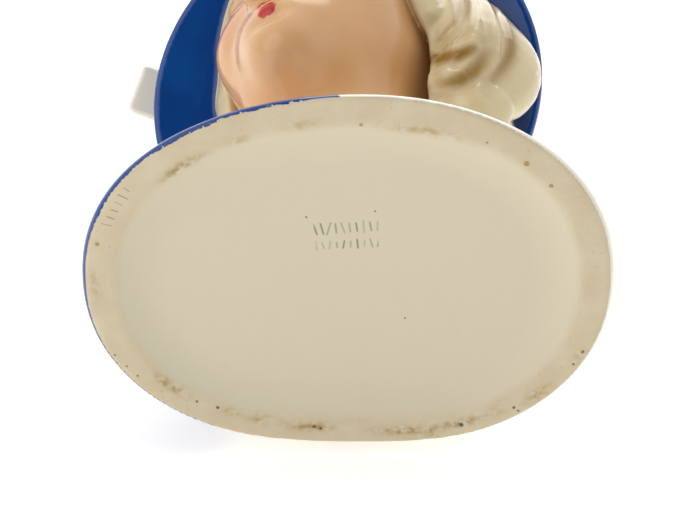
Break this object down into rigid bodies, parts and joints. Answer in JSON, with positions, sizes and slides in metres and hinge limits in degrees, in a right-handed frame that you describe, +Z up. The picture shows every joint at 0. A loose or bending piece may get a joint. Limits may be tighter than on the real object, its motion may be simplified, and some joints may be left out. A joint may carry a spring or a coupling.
{
  "type": "head vase",
  "caption": "Glazed ceramic head vase: a calm woman's head and draped bust in a wide-brimmed hat whose crown opens as the vase mouth.",
  "frame": {"origin": "middle of the bounding box in plan, on the plane that the unglazed foot ring stands on", "axes": "+Z up through the hat's open crown, -Y the front that the face looks towards, +X the viewer's right as seen from the front"},
  "size_m": [0.1174, 0.0928, 0.1625],
  "materials": {
    "glazed_body": "glossy clear glaze over painted earthenware, bare and matt under the foot ring"
  },
  "bodies": {
    "root": {"head_vase": "glazed_body"}
  },
  "joints": []
}
